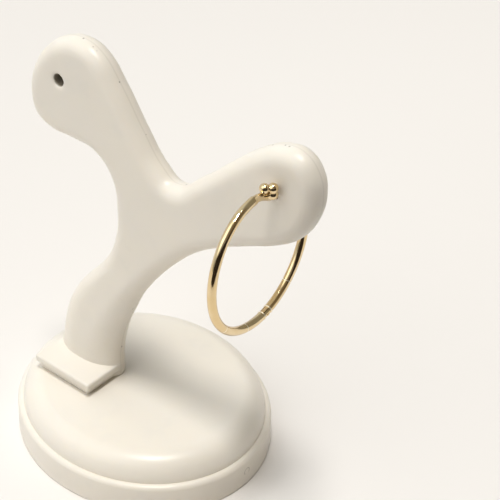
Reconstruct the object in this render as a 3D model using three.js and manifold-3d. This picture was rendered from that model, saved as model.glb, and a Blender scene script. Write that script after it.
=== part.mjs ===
// Hinged hoop earring hanging on a white forked display stand.
// Millimetres, +Z up. The origin is the centre of the base's underside, X runs along the
// fork's flat plate towards the arm that holds the earring, and -Y is the front.
import * as THREE from 'three';
import { mergeVertices } from 'three/addons/utils/BufferGeometryUtils.js';
import Module from 'manifold-3d';

const wasm = await Module();
wasm.setup();

// Base: an oval disc with a rounded ledge and a flat-topped dome on it. It is drawn round
// at its long half-width, then narrowed in Y and turned a little from the plate's line.
const BASE_RADIUS = 25.6;
const BASE_NARROWING = 0.895;
const BASE_TURN = THREE.MathUtils.degToRad(-8);
const RIM_HEIGHT = 6.1;
const RIM_EDGE = 0.9;
const DOME_FOOT_RADIUS = 24.4;
const DOME_SHOULDER = 4.5;
const DOME_TOP = 10.6;
const BASE_SEGMENTS = 72;
const RIM_EDGE_STEPS = 4;
const SHOULDER_STEPS = 8;

// Fork: foot plate, stem and two arms, all in one plate that stands in a vertical plane.
const PLATE_Y = -1.95;
const PLATE_DEPTH = 5.6;
const PLATE_EDGE = 2.6;
const PLATE_EDGE_STEPS = 4;
const OUTLINE_STEPS = 110;
const FOOT_X = -11.05;
const FOOT_WIDTH = 13.9;
const FOOT_FRONT = -10.8;
const FOOT_BACK = -1.95;
const FOOT_THICKNESS = 3;
const ROOT_SINK = 3;

// Outline of the plate seen from the front, from the waist round both arms and back.
const PLATE_OUTLINE = [
  { x: -7.3, z: 35.6 }, { x: -5.0, z: 40.0 }, { x: -3.3, z: 45.0 }, { x: -2.9, z: 50.0 },
  { x: -4.0, z: 56.6 }, { x: -7.4, z: 59.8 }, { x: -12.6, z: 60.3 }, { x: -18.2, z: 60.3 },
  { x: -21.8, z: 62.2 }, { x: -23.1, z: 66.6 }, { x: -22.0, z: 71.8 }, { x: -18.8, z: 76.6 },
  { x: -14.8, z: 79.5 }, { x: -10.6, z: 80.4 }, { x: -6.6, z: 79.1 }, { x: -2.5, z: 74.6 },
  { x: 2.5, z: 67.6 }, { x: 6.6, z: 62.6 }, { x: 10.0, z: 60.7 }, { x: 15.6, z: 64.6 },
  { x: 23.0, z: 71.4 }, { x: 28.4, z: 76.0 }, { x: 32.6, z: 78.2 }, { x: 36.4, z: 78.3 },
  { x: 39.4, z: 75.6 }, { x: 40.3, z: 71.4 }, { x: 39.3, z: 66.6 }, { x: 36.8, z: 62.5 },
  { x: 32.8, z: 59.4 }, { x: 27.2, z: 56.5 }, { x: 21.2, z: 53.3 }, { x: 15.5, z: 49.5 },
  { x: 9.8, z: 43.9 }, { x: 5.0, z: 38.0 }, { x: 1.8, z: 33.4 }, { x: -1.0, z: 30.4 },
  { x: -4.4, z: 29.8 }, { x: -7.2, z: 32.0 },
];

// Level cuts through the stem: its left and right sides, half its depth, and how far
// in from each side the rounding of its edges reaches.
const STEM_CUTS = [
  { z: 13.6, left: -18.1, right: -4.1, half: 3.8, round: 6.5 },
  { z: 16.0, left: -17.7, right: -4.1, half: 3.7, round: 6.2 },
  { z: 20.0, left: -17.0, right: -3.4, half: 3.6, round: 5.6 },
  { z: 24.0, left: -15.8, right: -2.3, half: 3.4, round: 5.0 },
  { z: 28.0, left: -13.8, right: -0.6, half: 3.2, round: 4.4 },
  { z: 32.0, left: -10.9, right: 1.2, half: 3.05, round: 3.8 },
  { z: 36.0, left: -7.5, right: 3.5, half: 2.9, round: 3.4 },
  { z: 40.0, left: -4.7, right: 6.2, half: 2.75, round: 3.3 },
];
const STEM_SIDES = 40;

// Holes for the posts of a pair of earrings, one near the end of each arm.
const HOLE_RADIUS = 1.2;
const HOLE_SIDES = 20;
const LEFT_HOLE = { x: -14.9, z: 71.8 };
const RIGHT_HOLE = { x: 32.2, z: 69.5 };

// Hoop: a tube bent to a circle, hinged near its lowest point and closed by a post.
// Angles are in the hoop's plane, from its rearmost point (0) over its top (90).
const HOOP_CENTRE = new THREE.Vector3(32.7, -7.6, 60.05);
const HOOP_TURN = THREE.MathUtils.degToRad(5);
const HOOP_RADIUS = 13;
const TUBE_RADIUS = 0.76;
const TUBE_SIDES = 14;
const RING_STEP = 6;
const HINGE_ANGLE = 279.3;
const REAR_END_ANGLE = 402;
const FRONT_BEND_ANGLE = 130;

// Front end of the hoop: the tube bends in to meet the post and carries three small balls.
// Places are in the hoop's plane, measured from its centre: back, up, and side towards +X.
const TIP = { back: 1.95, up: 10.2 };
const TIP_RADIUS = 0.74;
const TIP_STEPS = 10;
const TIP_PATH = [
  { back: -6.05, up: 11.35 }, { back: -4.7, up: 11.9 }, { back: -3.3, up: 12.08 },
  { back: -1.75, up: 11.85 }, { back: -0.1, up: 11.3 }, TIP,
];
const BALLS = [
  { side: 0.0, back: 0.51, up: 12.52, radius: 0.84 },
  { side: 0.9, back: 1.53, up: 12.38, radius: 0.87 },
  { side: 0.8, back: 1.59, up: 10.74, radius: 0.88 },
];
const BALL_SIDES = 14;
const BALL_RINGS = 10;
const SOCKET_RADIUS = 0.55;
const SOCKET_DEPTH = 1.1;
const SOCKET_SIDES = 12;
const SOCKET_OVERCUT = 0.5;

// Post: a straight wire from the rear half, through the arm's hole, into the front end.
const POST_RADIUS = 0.38;
const POST_SIDES = 10;
const POST_TIP_GAP = 0.4;

// Hinge: a tongue on the front half between two cheeks on the rear half, on a cross pin.
// Tongue and cheeks together make a short barrel that is a little thinner than the tube.
const HINGE_HALF = 0.8;
const HINGE_ROOT = 0.3;
const ROUND_SIDES = 20;
const PIN_RADIUS = 0.26;
const PIN_GAP = 0.03;
const PIN_HOLE_RADIUS = 0.34;
const PIN_LENGTH = 1.3;
const TONGUE_HALF = 0.28;
const CHEEK_INNER = 0.38;
const CHEEK_ROUND = 0.7;
const BARREL_RADIUS = 0.72;
const BARREL_HALF_ANGLE = 8;
const TONGUE_ROUND = 0.66;

const GOLD = { color: 0xd9a95b, roughness: 0.16, metalness: 1 };
const PLASTIC = { color: 0xeee8dc, roughness: 0.38, metalness: 0 };

// Solids are joined and cut as manifolds, then turned back into geometries.
function toSolid(geometry) {
  const bare = geometry.index ? geometry.toNonIndexed() : geometry.clone();
  bare.deleteAttribute('normal');
  bare.deleteAttribute('uv');
  const merged = mergeVertices(bare, 1e-4);
  return new wasm.Manifold(new wasm.Mesh({
    numProp: 3,
    vertProperties: new Float32Array(merged.attributes.position.array),
    triVerts: new Uint32Array(merged.index.array),
  }));
}

function toGeometry(solid) {
  const { vertProperties, triVerts } = solid.getMesh();
  const geometry = new THREE.BufferGeometry();
  geometry.setAttribute('position', new THREE.BufferAttribute(new Float32Array(vertProperties), 3));
  geometry.setIndex(new THREE.BufferAttribute(new Uint32Array(triVerts), 1));
  return geometry;
}

function makeMesh(name, geometry, look) {
  geometry.deleteAttribute('normal');
  geometry.computeVertexNormals();
  const mesh = new THREE.Mesh(geometry, new THREE.MeshStandardMaterial(look));
  mesh.name = name;
  return mesh;
}

// A closed skin over a row of rings that all have the same number of points.
function skin(rings) {
  const sides = rings[0].length;
  const points = rings.flat();
  const first = points.length;
  const ends = [rings[0], rings[rings.length - 1]];
  ends.forEach((ring) => {
    const middle = ring.reduce((sum, p) => sum.add(p), new THREE.Vector3());
    points.push(middle.divideScalar(sides));
  });
  const faces = [];
  for (let r = 0; r < rings.length - 1; r += 1) {
    for (let s = 0; s < sides; s += 1) {
      const a = r * sides + s;
      const b = r * sides + (s + 1) % sides;
      faces.push(a, b, a + sides, b, b + sides, a + sides);
    }
  }
  const last = (rings.length - 1) * sides;
  for (let s = 0; s < sides; s += 1) {
    const next = (s + 1) % sides;
    faces.push(first, next, s);
    faces.push(first + 1, last + s, last + next);
  }
  const geometry = new THREE.BufferGeometry().setFromPoints(points);
  geometry.setIndex(faces);
  return geometry;
}

// Base

function baseGeometry() {
  const profile = [new THREE.Vector2(0, 0), new THREE.Vector2(BASE_RADIUS - RIM_EDGE / 2, 0)];
  profile.push(new THREE.Vector2(BASE_RADIUS, RIM_EDGE / 2));
  for (let i = 0; i <= RIM_EDGE_STEPS; i += 1) {
    const a = (i / RIM_EDGE_STEPS) * Math.PI / 2;
    const r = BASE_RADIUS - RIM_EDGE + RIM_EDGE * Math.cos(a);
    profile.push(new THREE.Vector2(r, RIM_HEIGHT - RIM_EDGE + RIM_EDGE * Math.sin(a)));
  }
  const shoulderRadius = DOME_FOOT_RADIUS - DOME_SHOULDER;
  const shoulderHeight = DOME_TOP - DOME_SHOULDER;
  for (let i = 0; i <= SHOULDER_STEPS; i += 1) {
    const a = (i / SHOULDER_STEPS) * Math.PI / 2;
    const r = shoulderRadius + DOME_SHOULDER * Math.cos(a);
    profile.push(new THREE.Vector2(r, shoulderHeight + DOME_SHOULDER * Math.sin(a)));
  }
  profile.push(new THREE.Vector2(0, DOME_TOP));
  const lathe = new THREE.LatheGeometry(profile, BASE_SEGMENTS);
  lathe.rotateX(Math.PI / 2);
  lathe.scale(1, BASE_NARROWING, 1);
  lathe.rotateZ(BASE_TURN);
  return toGeometry(toSolid(lathe));
}

// Fork

function plateSolid() {
  const corners = PLATE_OUTLINE.map(({ x, z }) => new THREE.Vector3(x, z, 0));
  const curve = new THREE.CatmullRomCurve3(corners, true, 'centripetal');
  const points = curve.getSpacedPoints(OUTLINE_STEPS).slice(0, -1);
  const shape = new THREE.Shape(points.map((p) => new THREE.Vector2(p.x, p.y)));
  const plate = new THREE.ExtrudeGeometry(shape, {
    depth: PLATE_DEPTH - 2 * PLATE_EDGE,
    bevelEnabled: true,
    bevelThickness: PLATE_EDGE,
    bevelSize: PLATE_EDGE,
    bevelOffset: -PLATE_EDGE,
    bevelSegments: PLATE_EDGE_STEPS,
    curveSegments: 1,
    steps: 1,
  });
  plate.translate(0, 0, -(PLATE_DEPTH - 2 * PLATE_EDGE) / 2);
  plate.rotateX(Math.PI / 2);
  plate.translate(0, PLATE_Y, 0);
  return toSolid(plate);
}

function stemRing({ left, right, half, round }, z) {
  const ring = [];
  const straight = (right - left) / 2 - round;
  for (let s = 0; s < STEM_SIDES; s += 1) {
    const a = ((s + 0.5) / STEM_SIDES) * Math.PI * 2;
    const along = Math.sign(Math.cos(a)) * straight + round * Math.cos(a);
    ring.push(new THREE.Vector3((left + right) / 2 + along, PLATE_Y + half * Math.sin(a), z));
  }
  return ring;
}

function stemSolid() {
  const rings = STEM_CUTS.map((cut) => stemRing(cut, cut.z));
  rings.unshift(stemRing(STEM_CUTS[0], STEM_CUTS[0].z - ROOT_SINK));
  return toSolid(skin(rings));
}

function footSolid() {
  const box = new THREE.BoxGeometry(FOOT_WIDTH, FOOT_BACK - FOOT_FRONT, FOOT_THICKNESS);
  box.translate(FOOT_X, (FOOT_BACK + FOOT_FRONT) / 2, DOME_TOP + FOOT_THICKNESS / 2);
  return toSolid(box);
}

function holeSolid({ x, z }) {
  const drill = new THREE.CylinderGeometry(HOLE_RADIUS, HOLE_RADIUS, 2 * PLATE_DEPTH, HOLE_SIDES);
  drill.translate(x, PLATE_Y, z);
  return toSolid(drill);
}

function forkGeometry() {
  let fork = plateSolid().add(stemSolid()).add(footSolid());
  fork = fork.subtract(holeSolid(LEFT_HOLE)).subtract(holeSolid(RIGHT_HOLE));
  return toGeometry(fork);
}

// Hoop, in its own plane: x is the side towards the viewer's right, y is back and z is up.

function onCircle(angle, radius = HOOP_RADIUS) {
  const a = THREE.MathUtils.degToRad(angle);
  return new THREE.Vector3(0, radius * Math.cos(a), radius * Math.sin(a));
}

// A tube through places in the hoop's plane, each with its own radius.
function tubeSolid(places) {
  const side = new THREE.Vector3(1, 0, 0);
  const rings = places.map(({ at, radius }, i) => {
    const before = places[Math.max(i - 1, 0)].at;
    const after = places[Math.min(i + 1, places.length - 1)].at;
    const out = new THREE.Vector3().subVectors(after, before).normalize().cross(side);
    const ring = [];
    for (let s = 0; s < TUBE_SIDES; s += 1) {
      const a = (s / TUBE_SIDES) * Math.PI * 2;
      const p = at.clone().addScaledVector(side, radius * Math.cos(a));
      ring.push(p.addScaledVector(out, radius * Math.sin(a)));
    }
    return ring;
  });
  return toSolid(skin(rings));
}

function arcPlaces(from, to, radius = TUBE_RADIUS) {
  const steps = Math.ceil(Math.abs(to - from) / RING_STEP);
  const places = [];
  for (let i = 0; i <= steps; i += 1) {
    places.push({ at: onCircle(from + (to - from) * i / steps), radius });
  }
  return places;
}

function hingeEnd(direction) {
  return HINGE_ANGLE + direction * THREE.MathUtils.radToDeg(HINGE_HALF / HOOP_RADIUS);
}

function postDirection() {
  const rear = onCircle(REAR_END_ANGLE);
  return rear.sub(new THREE.Vector3(0, TIP.back, TIP.up)).normalize();
}

// The bend from the circle to the tip, with the tube slimming a little. Two stops on the
// circle lead the curve in, and it is used from half-way between the second and the third.
function tipPlaces() {
  const path = TIP_PATH.map(({ back, up }) => new THREE.Vector3(0, back, up));
  const stops = [onCircle(FRONT_BEND_ANGLE + RING_STEP), onCircle(FRONT_BEND_ANGLE), ...path];
  const bend = new THREE.CatmullRomCurve3(stops, false, 'centripetal');
  const start = 1.5 / (stops.length - 1);
  const places = [];
  for (let i = 0; i <= TIP_STEPS; i += 1) {
    const t = THREE.MathUtils.lerp(start, 1, i / TIP_STEPS);
    const radius = THREE.MathUtils.lerp(TUBE_RADIUS, TIP_RADIUS, i / TIP_STEPS);
    places.push({ at: bend.getPoint(t), radius });
  }
  return places;
}

function placeCylinder(radius, length, sides, direction, middle) {
  const rod = new THREE.CylinderGeometry(radius, radius, length, sides);
  rod.applyQuaternion(new THREE.Quaternion().setFromUnitVectors(
    new THREE.Vector3(0, 1, 0), direction,
  ));
  rod.translate(middle.x, middle.y, middle.z);
  return toSolid(rod);
}

function hingeCylinder(radius, halfWidth, sides) {
  const side = new THREE.Vector3(1, 0, 0);
  return placeCylinder(radius, 2 * halfWidth, sides, side, onCircle(HINGE_ANGLE));
}

// A block round the hinge line: half its width, and how far it reaches each way round.
function hingeBlock(halfWidth, front, rear, height) {
  const block = new THREE.BoxGeometry(2 * halfWidth, front + rear, 2 * height);
  block.translate(0, (rear - front) / 2, -HOOP_RADIUS);
  block.rotateX(THREE.MathUtils.degToRad(HINGE_ANGLE - 270));
  return toSolid(block);
}

function hoopFrontGeometry() {
  const places = [...arcPlaces(hingeEnd(-1), FRONT_BEND_ANGLE), ...tipPlaces()];
  let front = tubeSolid(places);
  BALLS.forEach(({ side, back, up, radius }) => {
    const ball = new THREE.SphereGeometry(radius, BALL_SIDES, BALL_RINGS);
    ball.translate(side, back, up);
    front = front.add(toSolid(ball));
  });
  const tip = new THREE.Vector3(0, TIP.back, TIP.up);
  const direction = postDirection();
  const middle = tip.clone().addScaledVector(direction, (SOCKET_OVERCUT - SOCKET_DEPTH) / 2);
  const length = SOCKET_DEPTH + SOCKET_OVERCUT;
  front = front.subtract(
    placeCylinder(SOCKET_RADIUS, length, SOCKET_SIDES, direction, middle),
  );
  const tongue = hingeCylinder(TONGUE_ROUND, TONGUE_HALF, ROUND_SIDES)
    .add(hingeBlock(TONGUE_HALF, HINGE_HALF + HINGE_ROOT, 0, TONGUE_ROUND));
  front = front.add(tongue).subtract(hingeCylinder(PIN_HOLE_RADIUS, TUBE_RADIUS, TUBE_SIDES));
  return toGeometry(front);
}

function hoopRearGeometry() {
  let rear = tubeSolid(arcPlaces(hingeEnd(1), REAR_END_ANGLE));
  const barrel = tubeSolid(arcPlaces(
    HINGE_ANGLE - BARREL_HALF_ANGLE, HINGE_ANGLE + BARREL_HALF_ANGLE, BARREL_RADIUS,
  ));
  const cheeks = hingeCylinder(CHEEK_ROUND, TUBE_RADIUS, ROUND_SIDES)
    .add(hingeBlock(TUBE_RADIUS, 0, HINGE_HALF + HINGE_ROOT, CHEEK_ROUND))
    .intersect(barrel);
  const slot = hingeBlock(CHEEK_INNER, 2 * HINGE_HALF, HINGE_HALF, 2 * TUBE_RADIUS);
  rear = rear.add(cheeks.subtract(slot));
  rear = rear.subtract(hingeCylinder(PIN_RADIUS, TUBE_RADIUS, TUBE_SIDES));
  const tip = new THREE.Vector3(0, TIP.back, TIP.up);
  const direction = postDirection();
  const reach = onCircle(REAR_END_ANGLE).sub(tip).length() + POST_TIP_GAP;
  const middle = tip.clone().addScaledVector(direction, (reach - 2 * POST_TIP_GAP) / 2);
  const post = placeCylinder(POST_RADIUS, reach, POST_SIDES, direction, middle);
  return toGeometry(rear.add(post));
}

function pinGeometry() {
  return toGeometry(hingeCylinder(PIN_RADIUS - PIN_GAP, PIN_LENGTH / 2, TUBE_SIDES));
}

const stand = new THREE.Group();
stand.add(makeMesh('stand_base', baseGeometry(), PLASTIC));
stand.add(makeMesh('stand_fork', forkGeometry(), PLASTIC));

const hoop = new THREE.Group();
hoop.position.copy(HOOP_CENTRE);
hoop.rotation.z = HOOP_TURN;
hoop.add(makeMesh('hoop_front', hoopFrontGeometry(), GOLD));
hoop.add(makeMesh('hoop_rear', hoopRearGeometry(), GOLD));
hoop.add(makeMesh('hinge_pin', pinGeometry(), GOLD));

const earringOnStand = new THREE.Group();
earringOnStand.add(stand, hoop);

export default earringOnStand;
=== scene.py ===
"""Hinged gold hoop earring on a white forked display stand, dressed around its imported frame.

Lengths are millimetres times MM, so metres, in the frame's own axes: +Z up, +X along the
fork's plate towards the arm that holds the earring, -Y the front.
"""
import math

import bpy
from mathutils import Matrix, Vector


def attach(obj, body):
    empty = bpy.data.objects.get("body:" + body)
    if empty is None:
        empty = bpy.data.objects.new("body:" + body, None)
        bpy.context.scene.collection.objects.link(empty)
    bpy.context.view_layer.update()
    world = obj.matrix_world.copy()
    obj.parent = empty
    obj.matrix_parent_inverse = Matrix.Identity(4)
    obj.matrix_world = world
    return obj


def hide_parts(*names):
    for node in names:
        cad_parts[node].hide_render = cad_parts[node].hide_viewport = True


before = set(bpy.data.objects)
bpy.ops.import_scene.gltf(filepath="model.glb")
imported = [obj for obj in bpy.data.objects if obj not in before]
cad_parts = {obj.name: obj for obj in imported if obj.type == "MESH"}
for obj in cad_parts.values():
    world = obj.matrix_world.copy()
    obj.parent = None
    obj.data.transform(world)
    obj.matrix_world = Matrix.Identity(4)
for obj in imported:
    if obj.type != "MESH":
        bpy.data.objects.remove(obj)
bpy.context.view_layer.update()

MM = 0.001
STAND = "stand_and_rear"
FRONT = "front_half"

# Bench settings: shares of the way between two marks, how close vertices are made one, how
# near to its mark an end face lies, and what counts as facing, square on or level.
QUARTERS = (0, 0.25, 0.5, 0.75)
PLATE_WELD = 0.002 * MM
FINE_WELD = 0.001 * MM
NEAR = 0.02 * MM
FACING = 0.9
SQUARE_ON = 0.98
LEVEL = 0.1

# The stand's base: an oval disc with a rounded ledge and a flat-topped dome.
BASE_RADIUS = 25.6 * MM
BASE_NARROWING = 0.895
BASE_TURN = math.radians(-8)
RIM_HEIGHT = 6.1 * MM
RIM_EDGE = 0.9 * MM
RIM_EDGE_STEPS = 6
BASE_EDGE = 0.35 * MM
BASE_EDGE_STEPS = 3
LEDGE = 1.2 * MM
DOME_TOP = 10.6 * MM
DOME_SHOULDER = 4.45 * MM
DOME_SHOULDER_STEPS = 14
DISC_INSETS = (0.4 * MM, 5 * MM, 5 * MM)
BASE_SIDES = 192
BASE_CREASE = math.radians(32)

# The fork's plate, traced round both arms, with its stem and foot.
PLATE_Y = -1.95 * MM
PLATE_DEPTH = 5.6 * MM
PLATE_EDGE = 2.6 * MM
PLATE_EDGE_STEPS = 8
PLATE_CURVE_STEPS = 10
PLATE_OUTLINE = [
    (-7.3, 35.6), (-5.0, 40.0), (-3.3, 45.0), (-2.9, 50.0), (-4.0, 56.6), (-7.4, 59.8),
    (-12.6, 60.3), (-18.2, 60.3), (-21.8, 62.2), (-23.1, 66.6), (-22.0, 71.8),
    (-18.8, 76.6), (-14.8, 79.5), (-10.6, 80.4), (-6.6, 79.1), (-2.5, 74.6), (2.5, 67.6),
    (6.6, 62.6), (10.0, 60.7), (15.6, 64.6), (23.0, 71.4), (28.4, 76.0), (32.6, 78.2),
    (36.4, 78.3), (39.4, 75.6), (40.3, 71.4), (39.3, 66.6), (36.8, 62.5), (32.8, 59.4),
    (27.2, 56.5), (21.2, 53.3), (15.5, 49.5), (9.8, 43.9), (5.0, 38.0), (1.8, 33.4),
    (-1.0, 30.4), (-4.4, 29.8), (-7.2, 32.0),
]
# Height, left and right side, half depth and how far in the edge's rounding reaches.
STEM_CUTS = [
    (10.65, -18.1, -4.1, 3.8, 6.5), (13.6, -18.1, -4.1, 3.8, 6.5),
    (16.0, -17.7, -4.1, 3.7, 6.2),
    (20.0, -17.0, -3.4, 3.6, 5.6), (24.0, -15.8, -2.3, 3.4, 5.0),
    (28.0, -13.8, -0.6, 3.2, 4.4), (32.0, -10.9, 1.2, 3.05, 3.8),
    (36.0, -7.5, 3.5, 2.9, 3.4), (40.0, -4.7, 6.2, 2.75, 3.3),
]
STEM_SIDES = 64
# The free hole, level, and the hoop's own, which follows the post and is just wide enough.
FREE_HOLE = (-14.9 * MM, 71.8 * MM)
FREE_HOLE_RADIUS = 1.12 * MM
POST_HOLE_RADIUS = 0.7 * MM
POST_HOLE_REACH = (3 * MM, 12 * MM)
HOLE_SIDES = 64
FORK_GRAIN = 0.3 * MM
FORK_SMOOTHING = 8
FORK_CREASE = math.radians(35)
FOOT_ROUNDING = 0.4 * MM
FOOT_ROUNDING_STEPS = 5
# The foot is a slab on a slightly smaller block: middle and size of each.
FOOT_PARTS = [((-11.05, -6.15, 12.8), (13.9, 9.3, 1.6)),
              ((-11.05, -5.8, 11.5), (12.5, 8.6, 1.8))]

# The hoop, in its own plane: x is the side towards the right, y is back and z is up.
HOOP_CENTRE = Vector((32.7, -7.6, 60.05)) * MM
HOOP_TURN = math.radians(5)
HOOP_RADIUS = 13 * MM
TUBE_RADIUS = 0.76 * MM
TUBE_SIDES = 32
HINGE_ANGLE = 279.3
HINGE_GAP_ANGLE = 3.53
FRONT_STEPS = 84
REAR_END_ANGLE = 402
REAR_STEPS = 70
COLLAR_ANGLE = 140
COLLAR_LEAD = 6
TIP_PATH = [(-7.85, 10.15), (-5.55, 11.3), (-3.4, 11.72), (-1.75, 11.75), (-0.1, 11.3),
            (1.95, 10.2)]
TIP_RADIUS = 0.69 * MM
# Side, back, up and radius of the balls soldered round the tip.
BALLS = [(0.0, 0.51, 12.5, 0.86), (0.9, 1.53, 12.34, 0.9), (0.86, 1.56, 11.25, 0.94)]
BALL_SIDES = 40
BALL_RINGS = 24
COLLAR_BACK = -1.9 * MM
NECK_RADIUS = 0.64 * MM
NECK_OVERLAP = 0.8 * MM
TUBE_END_ROUNDING = 0.14 * MM
REAR_END_ROUNDING = 0.4 * MM
END_ROUNDING_STEPS = 5
METAL_CREASE = math.radians(40)
METAL_EDGE_STEPS = 3
POST_RADIUS = 0.38 * MM
POST_SIDES = 24
POST_REACH = 0.4 * MM
SOCKET_RADIUS = 0.55 * MM
SOCKET_DEPTH = 1.1 * MM
SOLDER_GRAIN = 0.045 * MM
SOLDER_SMOOTHING = 7

# The hinge: cheeks on the rear half, a tongue on the front half and a riveted pin.
HINGE_HALF = 0.8 * MM
HINGE_ROOT = 0.3 * MM
PIN_RADIUS = 0.23 * MM
PIN_LENGTH = 1.3 * MM
PIN_HOLE_RADIUS = 0.34 * MM
CHEEK_ROUND = 0.7 * MM
BARREL_RADIUS = 0.72 * MM
BARREL_HALF_ANGLE = 8
BARREL_STEPS = 10
CHEEK_INNER = 0.38 * MM
TONGUE_ROUND = 0.66 * MM
KNUCKLE_GAP = 0.05 * MM
TONGUE_HALF = 0.28 * MM
HINGE_EDGE = 0.06 * MM
SEAM_RADIUS = 0.83 * MM
SEAM_WIDTH = 0.17 * MM
SEAM_EDGE = 0.45 * SEAM_WIDTH

# Ivory plastic: its tones, and how many bumps, cells or clouds there are to a metre.
IVORY = (0.815, 0.768, 0.69, 1)
IVORY_WARM = (0.835, 0.782, 0.69, 1)
IVORY_GREY = (0.785, 0.742, 0.672, 1)
SPECK = (0.28, 0.24, 0.19, 1)
# Painted shade for the free hole, standing in for the shadow inside it.
HOLE_PAINTED_SHADE = (0.24, 0.21, 0.16, 1)
CLOUDS = 55
DRIFT = 160
PEEL = 420
GRAIN = 2600
SPECK_CELLS = 330.0
SEAM_CELLS = 1100.0
# A tiny curled scuff on the rim.
MARK_PLACE = (25.53 * MM, 0.13 * MM, 3.20 * MM)
MARK_RADIUS = 0.7 * MM

# Gold: its tones, and how fine and deep the ripples are in the drawn and the soldered part.
GOLD = (0.78, 0.60, 0.335, 1)
GOLD_PALE = (0.84, 0.68, 0.43, 1)
GOLD_DULL = (0.56, 0.39, 0.18, 1)
# Paler metal for the solder lines, and a painted highlight for the hinge seams.
SOLDER_AND_GLINT_WHITE = (0.97, 0.9, 0.74, 1)
# Painted dark reflection, laid on towards the gold's outline.
GOLD_PAINTED_DARK_REFLECTION = (0.36, 0.2, 0.08, 1)
TONE = 300
RUB = 3800
HAIR = 2600.0
DRAWN_RIPPLE = (620, 0.8)
SOLDERED_RIPPLE = (1500, 5.0)
# Pale lines across the tube: the paler solder, and a painted highlight along both seams of the
# hinge. Angle and width.
SEAM_OFFSET = HINGE_GAP_ANGLE + 0.37
SOLDER_AND_GLINT_LINES = [(221, 0.12 * MM), (253.5, 0.16 * MM), (309.4, 0.14 * MM),
                (HINGE_ANGLE - SEAM_OFFSET, 0.19 * MM),
                (HINGE_ANGLE + SEAM_OFFSET, 0.19 * MM)]

# Table and soft light.
TABLE_SIZE = 6
TABLE_PALE = (0.845, 0.815, 0.785, 1)
TABLE_SHADE = (0.825, 0.795, 0.765, 1)
TABLE_CLOUDS = 3.5
TABLE_DROP = 0.02 * MM
OVERHEAD = (0.27, 0.266, 0.26, 1)
# Soft light from the left, front, back and right: heading and height of its middle in
# degrees, how far from that it is at full and at no strength, and its colour.
SOFT_LIGHTS = [
    (-175, 28, 30, 78, (0.72, 0.75, 0.77, 1)),
    (-110, 46, 12, 36, (1.85, 1.83, 1.75, 1)),
    (75, 25, 28, 55, (0.27, 0.26, 0.22, 1)),
    (2, 38, 14, 36, (0.17, 0.13, 0.08, 1)),
]
# The two lamps over the table: place, turn, length and width, and watts. The small one
# lengthens the glint on the hoop.
LAMP_COLOUR = (1, 0.985, 0.96)
LAMPS = [
    ("key_lamp", Vector((100, -140, 1165)) * MM, math.radians(-52), (260 * MM, 150 * MM),
     7.6),
    ("glint_lamp", Vector((180, 130, 1165)) * MM, 0, (120 * MM, 60 * MM), 0.4),
]
# A dark board that the gold mirrors, out of sight of the camera.
BOARD_HEADING = -38
BOARD_DISTANCE = 150 * MM
BOARD_SIZE = (400 * MM, 135 * MM)
BOARD_DARK = (0.016, 0.009, 0.005, 1)
BOARD_WORN = (0.03, 0.019, 0.012, 1)
BOARD_MOTTLE = 60

CAMERA_PLACE = Vector((166.7656, -176.5868, 218.2286)) * MM
CAMERA_TURN = [math.radians(turn) for turn in (53.8987, -1.6369, 40.0491)]
CAMERA_LENS = 121.437
CAMERA_REACH = (0.01, 20)
SENSOR_WIDTH = 36


# Bench: small steps that every piece is made with.

def active(*pieces):
    """Deselects everything, then selects these pieces with the first one active."""
    bpy.ops.object.select_all(action="DESELECT")
    for piece in pieces:
        piece.select_set(True)
    bpy.context.view_layer.objects.active = pieces[0]
    return pieces[0]


def newest(name):
    """Names the piece that was just added."""
    piece = bpy.context.active_object
    piece.name = name
    piece.data.name = name
    return piece


def settle(piece):
    """Puts the piece's place into its mesh."""
    active(piece)
    bpy.ops.object.transform_apply(location=True, rotation=True, scale=True)
    return piece


def shape(piece, kind, **settings):
    """Adds one modifier and applies it."""
    active(piece)
    modifier = piece.modifiers.new(kind.lower(), kind)
    for name, value in settings.items():
        setattr(modifier, name, value)
    bpy.ops.object.modifier_apply(modifier=modifier.name)
    return piece


def combine(piece, tool, operation):
    """Joins or cuts the piece with a tool solid, which is then thrown away."""
    shape(piece, "BOOLEAN", operation=operation, object=tool, solver="EXACT")
    bpy.data.objects.remove(tool, do_unlink=True)
    return piece


def edit(piece, kind="FACE"):
    """Opens the piece in edit mode with nothing selected."""
    active(piece)
    bpy.ops.object.mode_set(mode="EDIT")
    bpy.ops.mesh.select_mode(type=kind)
    bpy.ops.mesh.select_all(action="DESELECT")
    return piece


def done():
    """Closes edit mode."""
    bpy.ops.object.mode_set(mode="OBJECT")


def pick(piece, kind, wanted):
    """Selects the faces, edges or vertices whose middle and normal pass the test."""
    bpy.ops.mesh.select_mode(type=kind)
    bpy.ops.mesh.select_all(action="DESELECT")
    bpy.ops.object.mode_set(mode="OBJECT")
    mesh = piece.data
    if kind == "FACE":
        for face in mesh.polygons:
            face.select = wanted(face.center, face.normal)
    elif kind == "EDGE":
        for edge in mesh.edges:
            a, b = (mesh.vertices[i].co for i in edge.vertices)
            edge.select = wanted((a + b) / 2, (b - a).normalized())
    else:
        for vertex in mesh.vertices:
            vertex.select = wanted(vertex.co, vertex.normal)
    bpy.ops.object.mode_set(mode="EDIT")


def round_edges(width, steps):
    """Rounds the selected edges, in edit mode."""
    bpy.ops.mesh.bevel(offset=width, segments=steps, affect="EDGES", profile=0.5)


def smooth_run(a, b, c, d, share):
    """Part of the way from b to c, on the smooth line that also passes a and d."""
    return 0.5 * (2 * b + (c - a) * share + (2 * a - 5 * b + 4 * c - d) * share * share
                  + (3 * b - a - 3 * c + d) * share ** 3)


def close_to(value, target, within=1e-6):
    return abs(value - target) < within


# Stand

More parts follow.
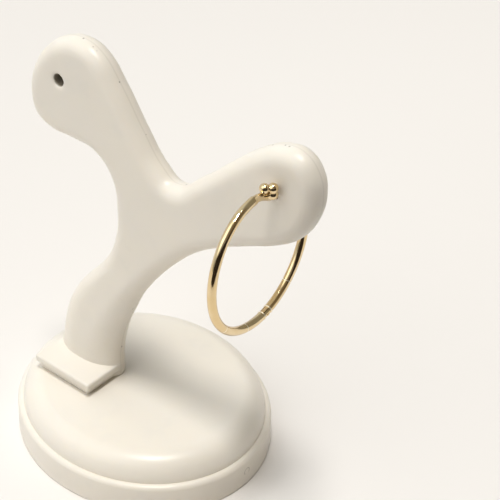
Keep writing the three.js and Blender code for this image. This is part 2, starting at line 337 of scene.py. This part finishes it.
def cast_base():
    bpy.ops.mesh.primitive_cylinder_add(
        vertices=BASE_SIDES, radius=BASE_RADIUS, depth=RIM_HEIGHT, end_fill_type="NGON",
        location=(0, 0, RIM_HEIGHT / 2))
    base = settle(newest("base_moulding"))
    edit(base)
    pick(base, "FACE", lambda at, normal: normal.z > FACING)
    bpy.ops.mesh.inset(thickness=LEDGE, depth=0)
    bpy.ops.mesh.extrude_region_move(
        TRANSFORM_OT_translate={"value": (0, 0, DOME_TOP - RIM_HEIGHT)})
    for height, width, steps in ((DOME_TOP, DOME_SHOULDER, DOME_SHOULDER_STEPS),
                                 (0, BASE_EDGE, BASE_EDGE_STEPS)):
        pick(base, "EDGE", lambda at, along: close_to(at.z, height) and abs(along.z) < LEVEL)
        round_edges(width, steps)
    pick(base, "EDGE", lambda at, along: close_to(at.z, RIM_HEIGHT)
         and at.xy.length > BASE_RADIUS - LEDGE / 2)
    round_edges(RIM_EDGE, RIM_EDGE_STEPS)
    for height in (DOME_TOP, 0):
        pick(base, "FACE", lambda at, normal: close_to(at.z, height)
             and abs(normal.z) > FACING)
        for step in DISC_INSETS:
            bpy.ops.mesh.inset(thickness=step, depth=0)
    done()
    base.scale = (1, BASE_NARROWING, 1)
    settle(base)
    base.rotation_euler = (0, 0, BASE_TURN)
    settle(base)
    bpy.ops.object.shade_smooth_by_angle(angle=BASE_CREASE)
    return base


def cut_plate():
    """The plate from its traced outline, with fully rounded edges."""
    bpy.ops.curve.primitive_bezier_circle_add(radius=MM)
    plate = newest("fork_plate")
    curve = plate.data
    curve.dimensions = "2D"
    curve.fill_mode = "BOTH"
    curve.resolution_u = PLATE_CURVE_STEPS
    curve.extrude = PLATE_DEPTH / 2 - PLATE_EDGE
    curve.bevel_depth = PLATE_EDGE
    curve.bevel_resolution = PLATE_EDGE_STEPS
    curve.offset = -PLATE_EDGE
    stops = curve.splines[0].bezier_points
    stops.add(len(PLATE_OUTLINE) - len(stops))
    for stop, (x, z) in zip(stops, PLATE_OUTLINE):
        stop.co = (x * MM, z * MM, 0)
        stop.handle_left_type = "AUTO"
        stop.handle_right_type = "AUTO"
    active(plate)
    bpy.ops.object.convert(target="MESH")
    plate = bpy.context.active_object
    plate.rotation_euler = (math.pi / 2, 0, 0)
    plate.location = (0, PLATE_Y, 0)
    settle(plate)
    edit(plate)
    bpy.ops.mesh.select_all(action="SELECT")
    bpy.ops.mesh.remove_doubles(threshold=PLATE_WELD)
    bpy.ops.mesh.normals_make_consistent(inside=False)
    done()
    return plate


def stem_ring(height, left, right, half, rounding):
    """One level cut of the stem: a circle pulled apart in its middle and flattened."""
    bpy.ops.mesh.primitive_circle_add(vertices=STEM_SIDES, radius=1, location=(0, 0, 0),
                                      rotation=(0, 0, math.pi / STEM_SIDES))
    ring = newest("stem_ring")
    ring.scale = (rounding * MM, half * MM, 1)
    settle(ring)
    straight = ((right - left) / 2 - rounding) * MM
    edit(ring, "VERT")
    for side in (1, -1):
        pick(ring, "VERT", lambda at, normal: at.x * side > 0)
        bpy.ops.transform.translate(value=(side * straight, 0, 0))
    done()
    ring.location = ((left + right) / 2 * MM, PLATE_Y, height * MM)
    return settle(ring)


def stem_levels():
    """The stem's cuts with three more between each pair, on a smooth line."""
    levels = []
    for i in range(len(STEM_CUTS) - 1):
        around = [STEM_CUTS[max(0, min(len(STEM_CUTS) - 1, i + k))] for k in (-1, 0, 1, 2)]
        for share in QUARTERS:
            levels.append([smooth_run(*marks, share) for marks in zip(*around)])
    levels.append(STEM_CUTS[-1])
    return levels


def loft_stem():
    rings = [stem_ring(*level) for level in stem_levels()]
    stem = active(*rings)
    bpy.ops.object.join()
    edit(stem, "EDGE")
    bpy.ops.mesh.select_all(action="SELECT")
    bpy.ops.mesh.bridge_edge_loops()
    done()
    edit(stem, "EDGE")
    for height in (STEM_CUTS[0][0], STEM_CUTS[-1][0]):
        pick(stem, "EDGE", lambda at, along: close_to(at.z, height * MM))
        bpy.ops.mesh.edge_face_add()
        bpy.ops.mesh.select_all(action="DESELECT")
    bpy.ops.mesh.select_all(action="SELECT")
    bpy.ops.mesh.normals_make_consistent(inside=False)
    done()
    return stem


def mould_foot():
    parts = []
    for middle, size in FOOT_PARTS:
        bpy.ops.mesh.primitive_cube_add(size=1, location=Vector(middle) * MM,
                                        scale=Vector(size) * MM)
        parts.append(settle(newest("foot_plate")))
        shape(parts[-1], "BEVEL", width=FOOT_ROUNDING, segments=FOOT_ROUNDING_STEPS,
              limit_method="ANGLE")
    return combine(*parts, "UNION")


def mould_fork():
    fork = cut_plate()
    combine(fork, loft_stem(), "UNION")
    x, z = FREE_HOLE
    through = Vector((0, PLATE_DEPTH, 0))
    middle = Vector((x, PLATE_Y, z))
    combine(fork, rod("drill", middle - through, middle + through, FREE_HOLE_RADIUS,
                      HOLE_SIDES), "DIFFERENCE")
    before, behind = POST_HOLE_REACH
    mouth = tip_stops()[-1]
    along = post_direction()
    combine(fork, hang(rod("drill", mouth - along * before, mouth + along * behind,
                           POST_HOLE_RADIUS)), "DIFFERENCE")
    fork.name = "fork_moulding"
    fork.data.name = "fork_moulding"
    shape(fork, "REMESH", mode="VOXEL", voxel_size=FORK_GRAIN)
    shape(fork, "SMOOTH", factor=0.5, iterations=FORK_SMOOTHING)
    combine(fork, mould_foot(), "UNION")
    active(fork)
    bpy.ops.object.shade_smooth_by_angle(angle=FORK_CREASE)
    return fork


# Hoop

def on_circle(angle, radius=HOOP_RADIUS):
    turn = math.radians(angle)
    return Vector((0, radius * math.cos(turn), radius * math.sin(turn)))


def hang(piece):
    """Turns a piece made in the hoop's own plane and moves it to where the hoop hangs."""
    piece.rotation_euler = (0, 0, HOOP_TURN)
    piece.location = HOOP_CENTRE
    return settle(piece)


def bend_tube(name, start, end, steps, radius=TUBE_RADIUS):
    """A round disc spun about the hoop's middle, with both ends closed."""
    bpy.ops.mesh.primitive_circle_add(
        vertices=TUBE_SIDES, radius=radius, fill_type="NGON", location=on_circle(start),
        rotation=(math.radians(start), 0, 0))
    tube = settle(newest(name))
    edit(tube)
    bpy.ops.mesh.select_all(action="SELECT")
    bpy.ops.mesh.spin(steps=steps, angle=math.radians(end - start), center=(0, 0, 0),
                      axis=(-1, 0, 0))
    bpy.ops.mesh.select_all(action="SELECT")
    bpy.ops.mesh.remove_doubles(threshold=FINE_WELD)
    bpy.ops.mesh.normals_make_consistent(inside=False)
    done()
    return tube


def rod(name, start, end, radius, sides=TUBE_SIDES):
    """A straight round rod between two places."""
    along = end - start
    bpy.ops.mesh.primitive_cylinder_add(vertices=sides, radius=radius, depth=along.length,
                                        location=(start + end) / 2)
    made = newest(name)
    made.rotation_mode = "QUATERNION"
    made.rotation_quaternion = along.to_track_quat("Z", "Y")
    return settle(made)


def tip_stops():
    """The tip's path, finely spaced on a smooth curve that leaves the circle evenly."""
    marks = [on_circle(COLLAR_ANGLE + COLLAR_LEAD), on_circle(COLLAR_ANGLE)]
    marks += [Vector((0, back, up)) * MM for back, up in TIP_PATH]
    marks.append(marks[-1] * 2 - marks[-2])
    stops = []
    for around in zip(marks, marks[1:], marks[2:], marks[3:]):
        stops += [smooth_run(*around, share) for share in QUARTERS]
    stops.append(marks[-2])
    return stops


def turn_of(direction):
    """How far about the side axis a disc that faces up is turned to face this way."""
    return math.atan2(-direction.y, direction.z)


def run_on(piece, stops, radii):
    """Extrudes the selected end face from stop to stop, turning and sizing it on the way."""
    facing = turn_of(stops[1] - stops[0])
    for i in range(1, len(stops)):
        ahead = stops[min(i + 1, len(stops) - 1)]
        turned = turn_of(ahead - stops[i - 1])
        bpy.ops.mesh.extrude_region_move(
            TRANSFORM_OT_translate={"value": stops[i] - stops[i - 1]})
        bpy.ops.transform.rotate(value=facing - turned, orient_axis="X",
                                 center_override=stops[i])
        grow = radii[i] / radii[i - 1]
        bpy.ops.transform.resize(value=(grow, grow, grow), center_override=stops[i])
        facing = turned


def end_edges(piece, place, direction, rounding):
    """Rounds the edge round one end of a tube."""
    outward = direction.normalized()
    pick(piece, "FACE", lambda at, normal: (at - place).length < NEAR
         and abs(normal.dot(outward)) > SQUARE_ON)
    bpy.ops.mesh.region_to_loop()
    round_edges(rounding, END_ROUNDING_STEPS)


def hinge_block(name, half_width, front, rear, inner, outer=None):
    """A block round the hinge line, measured both ways round and both ways across."""
    outer = inner if outer is None else outer
    bpy.ops.mesh.primitive_cube_add(
        size=1, location=(0, (rear - front) / 2, (inner - outer) / 2 - HOOP_RADIUS),
        scale=(2 * half_width, front + rear, inner + outer))
    block = settle(newest(name))
    block.rotation_euler = (math.radians(HINGE_ANGLE - 270), 0, 0)
    return settle(block)


def hinge_rod(name, half_width, radius, rounding=0.0):
    """A short rod along the hinge's axis, with its end edges rounded."""
    side = Vector((half_width, 0, 0))
    made = rod(name, on_circle(HINGE_ANGLE) - side, on_circle(HINGE_ANGLE) + side, radius)
    if rounding:
        soften(made, rounding)
    return made


def add_seam(tube, angle, towards):
    """A fine raised rim round the tube's end at the hinge."""
    end = on_circle(angle)
    along = on_circle(angle + 90).normalized() * towards * SEAM_WIDTH
    rim = rod("seam_rim", end, end + along, SEAM_RADIUS)
    soften(rim, SEAM_EDGE)
    return combine(tube, rim, "UNION")


def soften(piece, width):
    """Rounds all of a small metal part's sharp edges."""
    return shape(piece, "BEVEL", width=width, segments=METAL_EDGE_STEPS,
                 limit_method="ANGLE", angle_limit=METAL_CREASE)


def finish_metal(piece):
    hang(piece)
    bpy.ops.object.shade_smooth_by_angle(angle=METAL_CREASE)
    return piece


def post_direction():
    tip = tip_stops()[-1]
    return (on_circle(REAR_END_ANGLE) - tip).normalized()


def bend_front():
    """The front half's tube, from the hinge up to the collar where the tip is soldered in."""
    front = bend_tube("hoop_front_tube", HINGE_ANGLE - HINGE_GAP_ANGLE, COLLAR_ANGLE,
                      FRONT_STEPS)
    stops = [stop for stop in tip_stops() if stop.y < COLLAR_BACK]
    start = on_circle(COLLAR_ANGLE)
    edit(front)
    pick(front, "FACE", lambda at, normal: (at - start).length < NEAR)
    run_on(front, stops, [TUBE_RADIUS] * len(stops))
    end_edges(front, stops[-1], stops[-1] - stops[-2], TUBE_END_ROUNDING)
    done()
    add_seam(front, HINGE_ANGLE - HINGE_GAP_ANGLE, -1)
    tongue = hinge_rod("tongue", TONGUE_HALF, TONGUE_ROUND, HINGE_EDGE)
    combine(tongue, hinge_block("tongue_root", TONGUE_HALF, HINGE_HALF + HINGE_ROOT, 0,
                                TONGUE_ROUND), "UNION")
    combine(tongue, hinge_block("tongue_shoulder", TONGUE_HALF, HINGE_ROOT,
                                HINGE_HALF - KNUCKLE_GAP, BARREL_RADIUS - HINGE_EDGE, 0),
            "UNION")
    combine(front, tongue, "UNION")
    combine(front, hinge_rod("pin_drill", TUBE_RADIUS, PIN_HOLE_RADIUS), "DIFFERENCE")
    return finish_metal(front)


def solder_tip():
    """The bent end of the front half with its balls, melted together where they touch."""
    stops = [stop for stop in tip_stops() if stop.y > COLLAR_BACK - NECK_OVERLAP]
    first = stops[1] - stops[0]
    bpy.ops.mesh.primitive_circle_add(
        vertices=TUBE_SIDES, radius=NECK_RADIUS, fill_type="NGON", location=stops[0],
        rotation=(turn_of(first), 0, 0))
    tip = settle(newest("hoop_tip"))
    edit(tip)
    bpy.ops.mesh.select_all(action="SELECT")
    reach = len(stops) - 1
    run_on(tip, stops, [NECK_RADIUS + (TIP_RADIUS - NECK_RADIUS) * i / reach
                        for i in range(reach + 1)])
    bpy.ops.mesh.select_all(action="SELECT")
    bpy.ops.mesh.normals_make_consistent(inside=False)
    done()
    for side, back, up, radius in BALLS:
        bpy.ops.mesh.primitive_uv_sphere_add(
            segments=BALL_SIDES, ring_count=BALL_RINGS, radius=radius * MM,
            location=Vector((side, back, up)) * MM)
        combine(tip, settle(newest("ball")), "UNION")
    along = post_direction()
    mouth = stops[-1]
    combine(tip, rod("socket", mouth - along * SOCKET_DEPTH, mouth + along * SOCKET_DEPTH,
                     SOCKET_RADIUS), "DIFFERENCE")
    shape(tip, "REMESH", mode="VOXEL", voxel_size=SOLDER_GRAIN)
    shape(tip, "SMOOTH", factor=0.5, iterations=SOLDER_SMOOTHING)
    hang(tip)
    bpy.ops.object.shade_smooth()
    return tip


def bend_rear():
    """The rear half: its tube, the post through the stand and the hinge's two cheeks."""
    rear = bend_tube("hoop_rear_wire", HINGE_ANGLE + HINGE_GAP_ANGLE, REAR_END_ANGLE,
                     REAR_STEPS)
    end = on_circle(REAR_END_ANGLE)
    edit(rear)
    end_edges(rear, end, on_circle(REAR_END_ANGLE + 90).normalized(), REAR_END_ROUNDING)
    done()
    along = post_direction()
    post = rod("post", tip_stops()[-1] - along * POST_REACH, end, POST_RADIUS,
               POST_SIDES)
    soften(post, HINGE_EDGE)
    combine(rear, post, "UNION")
    add_seam(rear, HINGE_ANGLE + HINGE_GAP_ANGLE, 1)
    cheeks = hinge_rod("cheeks", TUBE_RADIUS, CHEEK_ROUND)
    combine(cheeks, hinge_block("cheek_root", TUBE_RADIUS, 0, HINGE_HALF + HINGE_ROOT,
                                CHEEK_ROUND), "UNION")
    combine(cheeks, hinge_block("cheek_shoulder", TUBE_RADIUS, HINGE_HALF - KNUCKLE_GAP,
                                HINGE_ROOT, TUBE_RADIUS, 0), "UNION")
    combine(cheeks, bend_tube("barrel", HINGE_ANGLE - BARREL_HALF_ANGLE,
                              HINGE_ANGLE + BARREL_HALF_ANGLE, BARREL_STEPS,
                              BARREL_RADIUS),
            "INTERSECT")
    combine(cheeks, hinge_block("slot", CHEEK_INNER, 2 * HINGE_HALF, HINGE_HALF,
                                2 * TUBE_RADIUS), "DIFFERENCE")
    combine(rear, cheeks, "UNION")
    return finish_metal(rear)


def rivet_pin():
    return finish_metal(hinge_rod("hinge_rivet", PIN_LENGTH / 2, PIN_RADIUS, HINGE_EDGE))


# Finishes

class Wire:
    """What comes out of a node. Arithmetic on it adds Math nodes."""

    def __init__(self, finish, socket):
        self.finish = finish
        self.socket = socket

    def reckon(self, operation, *values):
        return self.finish.node("ShaderNodeMath", {"operation": operation},
                                dict(enumerate(values)))

    def __add__(self, other):
        return self.reckon("ADD", self, other)

    def __sub__(self, other):
        return self.reckon("SUBTRACT", self, other)

    def __mul__(self, other):
        return self.reckon("MULTIPLY", self, other)

    def __gt__(self, other):
        return self.reckon("GREATER_THAN", self, other)

    def __radd__(self, other):
        return self.reckon("ADD", other, self)

    def __rsub__(self, other):
        return self.reckon("SUBTRACT", other, self)

    def __rmul__(self, other):
        return self.reckon("MULTIPLY", other, self)

    def __abs__(self):
        return self.reckon("ABSOLUTE", self)


class Finish:
    """One node tree being wired."""

    def __init__(self, owner):
        owner.use_nodes = True
        self.tree = owner.node_tree
        self.tree.nodes.clear()

    def node(self, kind, settings=None, sockets=None, out=0):
        made = self.tree.nodes.new(kind)
        for name, value in (settings or {}).items():
            setattr(made, name, value)
        for name, value in (sockets or {}).items():
            socket = made.inputs[name]
            if isinstance(value, Wire):
                self.tree.links.new(value.socket, socket)
            else:
                socket.default_value = value
        return Wire(self, made.outputs[out])

    def noise(self, place, scale, detail=2.0, roughness=0.5):
        return self.node("ShaderNodeTexNoise", {}, {
            "Vector": place, "Scale": scale, "Detail": detail, "Roughness": roughness})

    def axes(self, place):
        return [self.node("ShaderNodeSeparateXYZ", {}, {"Vector": place}, out=axis)
                for axis in range(3)]

    def length(self, x, y, z):
        whole = self.node("ShaderNodeCombineXYZ", {}, {"X": x, "Y": y, "Z": z})
        return self.node("ShaderNodeVectorMath", {"operation": "LENGTH"}, {0: whole}, out=1)

    def cells(self, place, scale):
        """Scattered dots: how far off the nearest is, and a lot drawn for each."""
        sockets = {"Vector": place, "Scale": scale}
        off_dot = self.node("ShaderNodeTexVoronoi", {}, sockets)
        lot = self.node("ShaderNodeTexVoronoi", {}, sockets, out=1)
        return off_dot, self.node("ShaderNodeSeparateColor", {}, {"Color": lot})

    def between(self, value, low, high, start=0.0, end=1.0):
        """Turns low to high into start to end, with soft ends."""
        return self.node("ShaderNodeMapRange", {"interpolation_type": "SMOOTHSTEP"}, {
            "Value": value, "From Min": low, "From Max": high, "To Min": start,
            "To Max": end})

    def mix(self, share, first, second):
        """A colour between two, by the share of the second."""
        return self.node("ShaderNodeMix", {"data_type": "RGBA"}, {
            0: share, 6: first, 7: second}, out=2)

    def close(self, shader, kind="ShaderNodeOutputMaterial"):
        end = self.tree.nodes.new(kind)
        self.tree.links.new(shader.socket, end.inputs["Surface"])


def material(name):
    made = bpy.data.materials.new(name)
    return made, Finish(made)


def ivory_plastic(name, parting=False):
    """Moulded plastic: faint clouding, a fine orange peel and odd dark specks.

    The fork's has a parting line down its middle, with specks along it, and painted shade
    in the free hole. The base's has one small scuff.
    """
    made, wiring = material(name)
    place = wiring.node("ShaderNodeTexCoord", out=3)
    cloud = wiring.noise(place, CLOUDS, 3)
    drift = wiring.noise(place, DRIFT, 3, 0.6)
    peel = wiring.noise(place, PEEL, 2)
    grain = wiring.noise(place, GRAIN, 2)
    spot, lot = wiring.cells(place, SPECK_CELLS)
    speck = wiring.between(spot, 0.04, 0.09, 1, 0)
    colour = wiring.mix(wiring.between(cloud, 0.35, 0.68), IVORY, IVORY_WARM)
    colour = wiring.mix(wiring.between(drift, 0.5, 0.75) * 0.5, colour, IVORY_GREY)
    relief = peel * 0.7 + grain * 0.12
    if parting:
        x, y, z = wiring.axes(place)
        off_seam = abs(y - PLATE_Y)
        seam = wiring.between(off_seam, 0.06 * MM, 0.22 * MM, 1, 0)
        relief = relief + seam * 0.6
        colour = wiring.mix(seam * 0.13, colour, SPECK)
        dot, dot_lot = wiring.cells(place, SEAM_CELLS)
        dot = wiring.between(dot, 0.14, 0.26, 1, 0) * (dot_lot > 0.68)
        dot = dot * wiring.between(off_seam, 0.3 * MM, 0.9 * MM, 1, 0)
        colour = wiring.mix(dot * 0.7, colour, SPECK)
        # Painted shade: the free hole's wall and rim are darkened as if in shadow.
        off_axis = wiring.length(x - FREE_HOLE[0], 0.0, z - FREE_HOLE[1])
        painted_hole_shade = wiring.between(off_axis, FREE_HOLE_RADIUS, FREE_HOLE_RADIUS * 1.15, 0.9, 0)
        colour = wiring.mix(painted_hole_shade, colour, HOLE_PAINTED_SHADE)
    else:
        place_x, place_y, place_z = wiring.axes(place)
        off_mark = wiring.length(place_x - MARK_PLACE[0], place_y - MARK_PLACE[1],
                                 place_z - MARK_PLACE[2])
        curl = wiring.between(abs(off_mark - MARK_RADIUS), 0.06 * MM, 0.16 * MM, 1, 0)
        curl = curl * wiring.between(peel, 0.42, 0.5)
        colour = wiring.mix(curl * 0.45, colour, SPECK)
    colour = wiring.mix(speck * (lot > 0.965) * 0.6, colour, SPECK)
    shader = wiring.node("ShaderNodeBsdfPrincipled", {}, {
        "Base Color": colour,
        "Roughness": wiring.between(drift, 0.3, 0.7, 0.3, 0.4),
        "Normal": wiring.node("ShaderNodeBump", {}, {
            "Height": relief, "Strength": 0.35, "Distance": 0.05 * MM}),
        "IOR": 1.49,
        "Subsurface Weight": 0.12,
        "Subsurface Radius": (1.0, 0.8, 0.5),
        "Subsurface Scale": 1.2 * MM,
    })
    wiring.close(shader)
    return made


def polished_gold(name, ripple, depth):
    """Buffed gold: ripples so fine and so deep, hair scratches, and a painted dark reflection
    towards its outline.
    """
    made, wiring = material(name)
    place = wiring.node("ShaderNodeTexCoord", out=3)
    plane = wiring.node("ShaderNodeMapping", {"vector_type": "TEXTURE"}, {
        "Vector": place, "Location": HOOP_CENTRE, "Rotation": (0, 0, HOOP_TURN)})
    tone = wiring.noise(place, TONE, 3)
    wave = wiring.noise(place, ripple, 1)
    rub = wiring.noise(plane, RUB, 3, 0.65)
    hair = wiring.node("ShaderNodeTexWave", {"wave_type": "RINGS", "rings_direction": "X"}, {
        "Vector": plane, "Scale": HAIR, "Distortion": 5.0, "Detail": 2.0,
        "Detail Scale": 2.0})
    colour = wiring.mix(wiring.between(tone, 0.35, 0.7), GOLD, GOLD_PALE)
    colour = wiring.mix(wiring.between(rub, 0.62, 0.78) * 0.3, colour, GOLD_DULL)
    # Painted dark reflection: the colour darkens towards the outline, as if mirroring dark
    # surroundings.
    outline = wiring.node("ShaderNodeLayerWeight", {}, {"Blend": 0.5}, out=1)
    colour = wiring.mix(wiring.between(outline, 0.55, 0.95) * 0.6, colour, GOLD_PAINTED_DARK_REFLECTION)
    back, up = wiring.axes(plane)[1:]
    round_hoop = up.reckon("ARCTAN2", up, back)
    nick = 0.0
    # The solder lines are paler metal; the lines at the hinge seams are painted highlights.
    for angle, width in SOLDER_AND_GLINT_LINES:
        off_line = abs(round_hoop - math.radians(angle - 360)) * HOOP_RADIUS
        line = wiring.between(off_line, width * 0.4, width, 1, 0)
        colour = wiring.mix(line * 0.85, colour, SOLDER_AND_GLINT_WHITE)
        nick = line + nick
    shader = wiring.node("ShaderNodeBsdfPrincipled", {}, {
        "Base Color": colour,
        "Metallic": 1.0,
        "Roughness": wiring.between(rub, 0.35, 0.75, 0.07, 0.17) + nick * 0.3,
        "Normal": wiring.node("ShaderNodeBump", {}, {
            "Height": wave * depth + hair * 0.02 + rub * 0.04 + nick * 0.8,
            "Strength": 0.25,
            "Distance": 0.03 * MM}),
    })
    wiring.close(shader)
    return made


def table_top(name):
    made, wiring = material(name)
    place = wiring.node("ShaderNodeTexCoord", out=3)
    tone = wiring.between(wiring.noise(place, TABLE_CLOUDS, 2), 0.3, 0.7)
    shader = wiring.node("ShaderNodeBsdfPrincipled", {}, {
        "Base Color": wiring.mix(tone, TABLE_PALE, TABLE_SHADE), "Roughness": 0.7})
    wiring.close(shader)
    return made


# Studio

def heading(turn, height):
    """The direction that lies so many degrees round from +X and above the table."""
    flat = math.cos(math.radians(height))
    return Vector((flat * math.cos(math.radians(turn)), flat * math.sin(math.radians(turn)),
                   math.sin(math.radians(height))))


def hang_lamp(name, place, turn, size, watts):
    """A flat lamp that shines straight down."""
    bpy.ops.object.light_add(type="AREA", location=place, rotation=(0, 0, turn))
    lamp = bpy.context.active_object
    lamp.name = name
    lamp.data.shape = "RECTANGLE"
    lamp.data.size, lamp.data.size_y = size
    lamp.data.energy = watts
    lamp.data.color = LAMP_COLOUR


def light_stage():
    """Soft light from all round, with a tone of its own from each side, and the lamps."""
    around = bpy.data.worlds.new("soft_light")
    bpy.context.scene.world = around
    wiring = Finish(around)
    ways = wiring.node("ShaderNodeTexCoord", out=0)
    colour = OVERHEAD
    for turn, height, full, faded, tone in SOFT_LIGHTS:
        towards = wiring.node("ShaderNodeVectorMath", {"operation": "DOT_PRODUCT"}, {
            0: ways, 1: heading(turn, height)}, out=1)
        share = wiring.between(towards, math.cos(math.radians(faded)),
                               math.cos(math.radians(full)))
        colour = wiring.mix(share, colour, tone)
    back = wiring.node("ShaderNodeBackground", {}, {"Color": colour, "Strength": 1.0})
    wiring.close(back, "ShaderNodeOutputWorld")
    for lamp in LAMPS:
        hang_lamp(*lamp)


def lay_table():
    bpy.ops.mesh.primitive_plane_add(size=TABLE_SIZE, location=(0, 0, -TABLE_DROP))
    table = settle(newest("table"))
    table.data.materials.append(table_top("table_top"))


def stand_board():
    """The dark board, which the gold mirrors and the camera doesn't see."""
    aside = heading(BOARD_HEADING, 0) * BOARD_DISTANCE
    bpy.ops.mesh.primitive_plane_add(
        size=1, rotation=(math.pi / 2, 0, math.radians(BOARD_HEADING + 90)))
    board = newest("dark_board")
    board.scale = (BOARD_SIZE[0], BOARD_SIZE[1], 1)
    board.location = (HOOP_CENTRE.x + aside.x, HOOP_CENTRE.y + aside.y, BOARD_SIZE[1] / 2)
    settle(board)
    made, wiring = material("dark_board")
    place = wiring.node("ShaderNodeTexCoord", out=3)
    mottle = wiring.between(wiring.noise(place, BOARD_MOTTLE, 3), 0.35, 0.65)
    wiring.close(wiring.node("ShaderNodeBsdfPrincipled", {}, {
        "Base Color": wiring.mix(mottle, BOARD_DARK, BOARD_WORN), "Roughness": 0.9}))
    board.data.materials.append(made)
    board.visible_camera = False


def set_camera():
    bpy.ops.object.camera_add(location=CAMERA_PLACE, rotation=CAMERA_TURN)
    camera = bpy.context.active_object
    camera.data.lens = CAMERA_LENS
    camera.data.sensor_width = SENSOR_WIDTH
    camera.data.clip_start, camera.data.clip_end = CAMERA_REACH
    bpy.context.scene.camera = camera
    bpy.context.scene.view_settings.view_transform = "Standard"


set_camera()
light_stage()
lay_table()
stand_board()

plastic = ivory_plastic("ivory_plastic")
parted_plastic = ivory_plastic("ivory_plastic_parted", parting=True)
gold = polished_gold("polished_gold", *DRAWN_RIPPLE)
soldered_gold = polished_gold("soldered_gold", *SOLDERED_RIPPLE)

# Piece, its material, its body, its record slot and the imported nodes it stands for.
PIECES = [
    (cast_base(), plastic, STAND, "stand_plastic", ["stand_base"]),
    (mould_fork(), parted_plastic, STAND, "stand_plastic", ["stand_fork"]),
    (bend_rear(), gold, STAND, "hoop_gold", ["hoop_rear"]),
    (rivet_pin(), gold, STAND, "hoop_gold", ["hinge_pin"]),
    (bend_front(), gold, FRONT, "hoop_gold", ["hoop_front"]),
    (solder_tip(), soldered_gold, FRONT, "hoop_gold", []),
]
for piece, finish, body, slot, nodes in PIECES:
    piece.data.materials.clear()
    piece.data.materials.append(finish)
    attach(piece, body)
    if nodes:
        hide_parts(*nodes)

bpy.context.view_layer.update()
